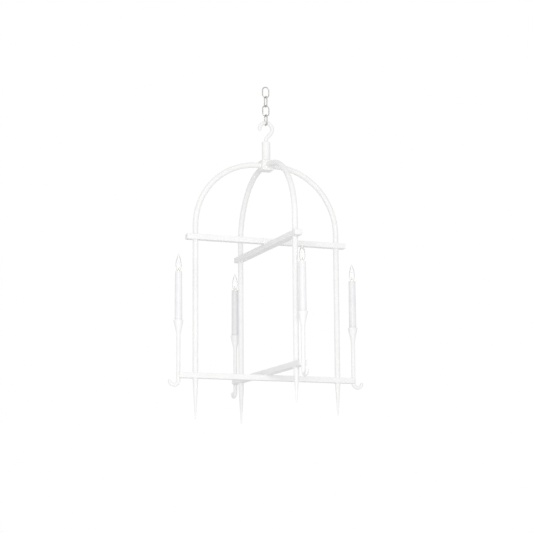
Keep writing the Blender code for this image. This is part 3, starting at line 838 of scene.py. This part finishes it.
def buildSleeve(side):
    # tube that narrows a little towards its open top
    low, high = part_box("candle_sleeve_right")
    foot = (high.x - low.x) / 2
    height = high.z - low.z
    bore = extent("socket_body_right").x / 2 + sleeve["boreRoom"]
    top = bore + sleeve["topWall"]
    corners = [(top, height, 0.0006), (top + sleeve["middleExtra"], height * 0.5, 0),
               (foot, 0, 0.0004), (bore, 0, 0.0003), (bore, height, 0.0005)]
    bm = bmesh.new()
    turn(bm, softened(corners, sleeve["softness"], closed=True), candleSpot(side, low.z), sleeve["sides"],
         closed=True)
    newObject("candle_tube_" + side, bm, sleeveSatinShadedBySide[side], "sleeve_" + side,
              ["candle_sleeve_" + side])


for side in sides:
    buildArm(side)
    buildCup(side)
    buildSleeve(side)
print("arms, cups and sleeves built")


# lamp sockets inside the sleeves

socket = {"riserWall": 0.0015, "rib": 0.0007, "room": 0.0003, "softness": 0.0004, "sides": 56,
          "tubeSoftness": 0.0003, "tubeSides": 40}


def buildRiser(side):
    # tube that carries the socket, up from the arm
    low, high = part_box("socket_riser_right")
    radius = (high.x - low.x) / 2
    bore = radius - socket["riserWall"]
    corners = [(radius, high.z), (radius, low.z), (bore, low.z), (bore, high.z)]
    profile = softened(corners, socket["tubeSoftness"], closed=True)
    bm = bmesh.new()
    turn(bm, profile, candleSpot(side), socket["tubeSides"], closed=True)
    newObject("riser_tube_" + side, bm, zinc, "lantern", ["socket_riser_" + side])


def buildMoulding(side):
    # insulating body: ribs at its top and foot, open above for the shell
    low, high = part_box("socket_body_right")
    shellLow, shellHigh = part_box("socket_shell_right")
    riserLow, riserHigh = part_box("socket_riser_right")
    riser = (riserHigh.x - riserLow.x) / 2
    outer = (high.x - low.x) / 2
    waist = outer - socket["rib"]
    floor = shellLow.z - socket["room"]
    bore = (shellHigh.x - shellLow.x) / 2 + socket["room"]
    corners = [(0, floor, 0), (bore, floor, 0.0003), (bore, high.z, 0.0005), (outer, high.z, 0.0007),
               (outer, high.z - 0.004, 0.0003), (waist, high.z - 0.0046, 0.0003),
               (waist, floor + 0.004, 0.0003), (outer, floor + 0.0034, 0.0003),
               (outer, low.z + 0.0045, 0.0008), (riser, low.z, 0.0006), (0, low.z, 0)]
    bm = bmesh.new()
    turn(bm, softened(corners, socket["softness"]), candleSpot(side), socket["sides"])
    newObject("socket_moulding_" + side, bm, moulding, "lantern", ["socket_body_" + side])


shell = {"wall": 0.0004, "crestRoom": 0.0001, "plainEnd": 0.0006, "pitch": 0.0021, "threadDepth": 0.00012,
         "steps": 48, "sides": 40}


def buildShell(side):
    # brass shell with a screw thread rolled into it, plain at both ends
    low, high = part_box("socket_shell_right")
    radius, height = (high.x - low.x) / 2, high.z - low.z
    steps = shell["steps"]
    outerWall = [(radius - shell["crestRoom"], high.z - height * i / steps) for i in range(steps + 1)]
    innerWall = [(radius - shell["wall"], low.z + height * i / steps) for i in range(steps + 1)]
    thread = (shell["pitch"], shell["threadDepth"], low.z + shell["plainEnd"], high.z - shell["plainEnd"])
    bm = bmesh.new()
    turn(bm, outerWall + innerWall, candleSpot(side), shell["sides"], closed=True, thread=thread)
    newObject("screw_shell_" + side, bm, brass, "lantern", ["socket_shell_" + side])


contact = {"crown": 0.0001, "edge": 0.0008, "softness": 0.0005, "sides": 32}


def buildContact(side):
    # low domed button at the bottom of the shell
    low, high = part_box("socket_contact_right")
    radius = (high.x - low.x) / 2
    corners = [(0, high.z, 0), (radius * 0.5, high.z - contact["crown"]), (radius, low.z + contact["edge"]),
               (radius, low.z, 0.0002), (0, low.z, 0)]
    bm = bmesh.new()
    turn(bm, softened(corners, contact["softness"]), candleSpot(side), contact["sides"])
    newObject("centre_contact_" + side, bm, brass, "lantern", ["socket_contact_" + side])


for side in sides:
    buildRiser(side)
    buildMoulding(side)
    buildShell(side)
    buildContact(side)
print("sockets built")


# flame bulbs

bulb = {"neck": 0.0047, "neckSeat": 0.003, "seatRoom": 0.0003, "belly": 0.32, "footCurve": 0.6,
        "tipCurve": 1.15, "wall": 0.0008, "tipWall": 0.0016, "tipFill": 0.0024, "tipBore": 0.0002,
        "rings": 40, "tipSpread": 1.35, "sides": 56}


def flameRadius(share, belly):
    # radius at a share of the flame's height, from the neck out to the belly and in to the tip
    neck = bulb["neck"]
    if share < bulb["belly"]:
        return neck + (belly - neck) * math.sin(share / bulb["belly"] * math.pi / 2) ** bulb["footCurve"]
    rest = (share - bulb["belly"]) / (1 - bulb["belly"])
    return belly * max(math.cos(rest * math.pi / 2), 0) ** bulb["tipCurve"]


def buildGlass(side):
    # thin blown glass, thicker at the tip, with its neck sunk in the cap
    low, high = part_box("bulb_glass_right")
    belly, height = (high.x - low.x) / 2, high.z - bulbFoot
    neck, bore = bulb["neck"], bulb["neck"] - bulb["wall"]
    seat = bulbFoot - bulb["neckSeat"] + bulb["seatRoom"]
    shares = [1 - (i / bulb["rings"]) ** bulb["tipSpread"] for i in range(1, bulb["rings"])]
    profile = [(0, bulbFoot + height)]
    profile += [(flameRadius(s, belly), bulbFoot + height * s) for s in shares]
    profile += [(neck, bulbFoot), (neck, seat), (bore, seat), (bore, bulbFoot)]
    for s in reversed(shares):
        radius = max(flameRadius(s, belly) - bulb["wall"], bulb["tipBore"])
        profile.append((radius, bulbFoot + (height - bulb["tipWall"]) * s))
    profile.append((0, bulbFoot + height - bulb["tipFill"]))
    bm = bmesh.new()
    turn(bm, profile, candleSpot(side), bulb["sides"])
    newObject("flame_glass_" + side, bm, clearGlass, "bulb_" + side, ["bulb_glass_" + side])


cap = {"neckRoom": 0.0002, "rim": [(0.0002, 0), (0.0001, 0.0006)], "wallDrop": 0.0008, "wallFoot": 0.0064,
       "button": [(0.0036, 0.0022), (0.0024, 0.0020), (0.0024, 0.0006), (0.00168, 0), (0, 0)],
       "pitch": 0.0021, "threadDepth": 0.0002, "threadTop": 0.0062, "rings": 60, "sides": 48}


def buildCap(side):
    # pale brass screw cap with a contact button under it
    low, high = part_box("bulb_cap_right")
    radius = (high.x - low.x) / 2
    neck = bulb["neck"] + cap["neckRoom"]
    seat = bulbFoot - bulb["neckSeat"]
    wallTop, wallFoot = bulbFoot - cap["wallDrop"], low.z + cap["wallFoot"]
    profile = [(0, seat), (neck, seat), (neck, bulbFoot)]
    profile += [(radius - inset, bulbFoot - drop) for inset, drop in cap["rim"]]
    for i in range(cap["rings"] + 1):
        profile.append((radius - cap["threadDepth"], wallTop - (wallTop - wallFoot) * i / cap["rings"]))
    profile += [(r, low.z + rise) for r, rise in cap["button"]]
    thread = (cap["pitch"], cap["threadDepth"], wallFoot, bulbFoot - cap["threadTop"])
    bm = bmesh.new()
    turn(bm, profile, candleSpot(side), cap["sides"], thread=thread)
    newObject("screw_cap_" + side, bm, capBrass, "bulb_" + side, ["bulb_cap_" + side])


mount = {"shape": [(0, 0.0115), (0.0014, 0.0112), (0.0018, 0.007), (0.0027, 0.0015)], "neckRoom": 0.0013,
         "seat": 0.0024, "softness": 0.0008, "sides": 24}


def buildMount(side):
    # solid glass foot that holds the lead wires
    corners = [(radius, bulbFoot + height) for radius, height in mount["shape"]]
    corners += [(bulb["neck"] - mount["neckRoom"], bulbFoot - mount["seat"]), (0, bulbFoot - mount["seat"])]
    bm = bmesh.new()
    turn(bm, softened(corners, mount["softness"]), candleSpot(side), mount["sides"])
    newObject("glass_mount_" + side, bm, mountGlass, "bulb_" + side)


lead = {"path": [(0.0006, 0.0078), (0.0009, 0.012), (0.0021, 0.020), (0.0024, 0.0275)],
        "wire": 0.00018, "sides": 8}
coil = {"halfSpan": 0.0024, "height": 0.0275, "arch": 0.0022, "radius": 0.0004, "wire": 0.00012,
        "turns": 11, "turnSteps": 10, "sides": 6}


def buildFilament(side):
    # two lead wires and a coiled filament arched between them
    spot, turned = candleSpot(side), sideTurn(side)
    bm = bmesh.new()
    for sign in (-1, 1):
        path = [spot + turned @ Vector((sign * x, 0, bulbFoot + z)) for x, z in lead["path"]]
        sweep(bm, path, lead["wire"], lead["sides"])
    steps = coil["turns"] * coil["turnSteps"]
    path = []
    for i in range(steps + 1):
        t = i / steps
        a = 2 * math.pi * coil["turns"] * t
        x = -coil["halfSpan"] + 2 * coil["halfSpan"] * t
        z = bulbFoot + coil["height"] + coil["arch"] * math.sin(math.pi * t)
        point = Vector((x, coil["radius"] * math.cos(a), z + coil["radius"] * math.sin(a)))
        path.append(spot + turned @ point)
    sweep(bm, path, coil["wire"], coil["sides"])
    newObject("coiled_filament_" + side, bm, tungsten, "bulb_" + side, ["bulb_filament_" + side])


for side in sides:
    buildGlass(side)
    buildCap(side)
    buildMount(side)
    buildFilament(side)
print("bulbs built")


# floor, light and camera

studio = {"floor": -0.9325, "floorRadius": 40, "floorSides": 128, "floorColor": (0.89, 0.89, 0.89),
          "floorRoughness": 0.9, "floorPlain": 0.85, "world": 0.79}


def shownPlain(tree):
    # 1 for the rays that show the background: to the camera, in gloss and through glass
    path = tree.nodes.new("ShaderNodeLightPath")
    seen = path.outputs["Is Camera Ray"]
    for kind in ("Is Glossy Ray", "Is Transmission Ray"):
        either = tree.nodes.new("ShaderNodeMath")
        either.operation = "MAXIMUM"
        tree.links.new(seen, either.inputs[0])
        tree.links.new(path.outputs[kind], either.inputs[1])
        seen = either.outputs["Value"]
    return seen


def buildFloor():
    # a wide disc, level from every side: nearly plain white, with the rest left to light and shadow
    bm = bmesh.new()
    bmesh.ops.create_circle(bm, cap_ends=True, segments=studio["floorSides"], radius=studio["floorRadius"])
    bmesh.ops.translate(bm, verts=bm.verts, vec=(0, 0, studio["floor"]))
    mesh = bpy.data.meshes.new("studio_floor")
    bm.to_mesh(mesh)
    bm.free()
    floor = bpy.data.objects.new("studio_floor", mesh)
    bpy.context.scene.collection.objects.link(floor)
    material, tree, shader = newMaterial("floor_white", studio["floorColor"], studio["floorRoughness"])
    plain = tree.nodes.new("ShaderNodeEmission")
    share = tree.nodes.new("ShaderNodeMath")
    share.operation = "MULTIPLY"
    share.inputs[1].default_value = studio["floorPlain"]
    tree.links.new(shownPlain(tree), share.inputs[0])
    mix = tree.nodes.new("ShaderNodeMixShader")
    tree.links.new(share.outputs["Value"], mix.inputs["Fac"])
    tree.links.new(shader.outputs["BSDF"], mix.inputs[1])
    tree.links.new(plain.outputs["Emission"], mix.inputs[2])
    tree.links.new(mix.outputs["Shader"], tree.nodes["Material Output"].inputs["Surface"])
    mesh.materials.append(material)


def buildWorld():
    # the camera, gloss and glass see plain white; the world lights the lantern softly
    world = bpy.data.worlds.new("studio_world")
    bpy.context.scene.world = world
    world.use_nodes = True
    tree = world.node_tree
    light = tree.nodes["Background"]
    white = tree.nodes.new("ShaderNodeBackground")
    for background, strength in ((light, studio["world"]), (white, 1.0)):
        background.inputs["Color"].default_value = (1, 1, 1, 1)
        background.inputs["Strength"].default_value = strength
    mix = tree.nodes.new("ShaderNodeMixShader")
    tree.links.new(shownPlain(tree), mix.inputs["Fac"])
    tree.links.new(light.outputs["Background"], mix.inputs[1])
    tree.links.new(white.outputs["Background"], mix.inputs[2])
    tree.links.new(mix.outputs["Shader"], tree.nodes["World Output"].inputs["Surface"])


key = {"side": 21, "distance": 4.6, "height": 0.52, "aim": 0.4675, "size": 2.4, "power": 68}


def buildKey():
    # one wide soft lamp, in front of the lantern on the side that the camera looks from
    side = math.radians(key["side"])
    place = Vector((-key["distance"] * math.sin(side), -key["distance"] * math.cos(side), key["height"]))
    lamp = bpy.data.lights.new("key_light", "AREA")
    lamp.shape = "DISK"
    lamp.size = key["size"]
    lamp.energy = key["power"]
    obj = bpy.data.objects.new("key_light", lamp)
    obj.location = place
    obj.rotation_euler = (Vector((0, 0, key["aim"])) - place).to_track_quat("-Z", "Y").to_euler()
    bpy.context.scene.collection.objects.link(obj)


view = {"turn": 21.22, "pitch": 9.865, "roll": -0.4, "distance": 5.643, "height": -0.4625, "aside": 0.0012,
        "focalPixels": 1701, "imagePixels": 533, "sensor": 36, "clipEnd": 60}


def buildCamera():
    # the photograph's viewpoint: a little below the lantern, looking up at it
    turnAngle, pitch, roll = (math.radians(view[k]) for k in ("turn", "pitch", "roll"))
    level = Vector((math.sin(turnAngle), math.cos(turnAngle), 0))
    right = Vector((math.cos(turnAngle), -math.sin(turnAngle), 0))
    forward = level * math.cos(pitch) + upward * math.sin(pitch)
    up = right.cross(forward)
    rolledRight = right * math.cos(roll) + up * math.sin(roll)
    rolledUp = up * math.cos(roll) - right * math.sin(roll)
    place = upward * view["height"] - level * view["distance"] - right * view["aside"]
    data = bpy.data.cameras.new("photo_camera")
    data.sensor_width = view["sensor"]
    data.lens = view["focalPixels"] / view["imagePixels"] * view["sensor"]
    data.clip_end = view["clipEnd"]
    camera = bpy.data.objects.new("photo_camera", data)
    axes = Matrix((rolledRight, rolledUp, -forward)).transposed()
    camera.matrix_world = Matrix.Translation(place) @ axes.to_4x4()
    bpy.context.scene.collection.objects.link(camera)
    bpy.context.scene.camera = camera


buildFloor()
buildWorld()
buildKey()
buildCamera()
bpy.context.scene.view_settings.view_transform = "Standard"
print("studio ready")
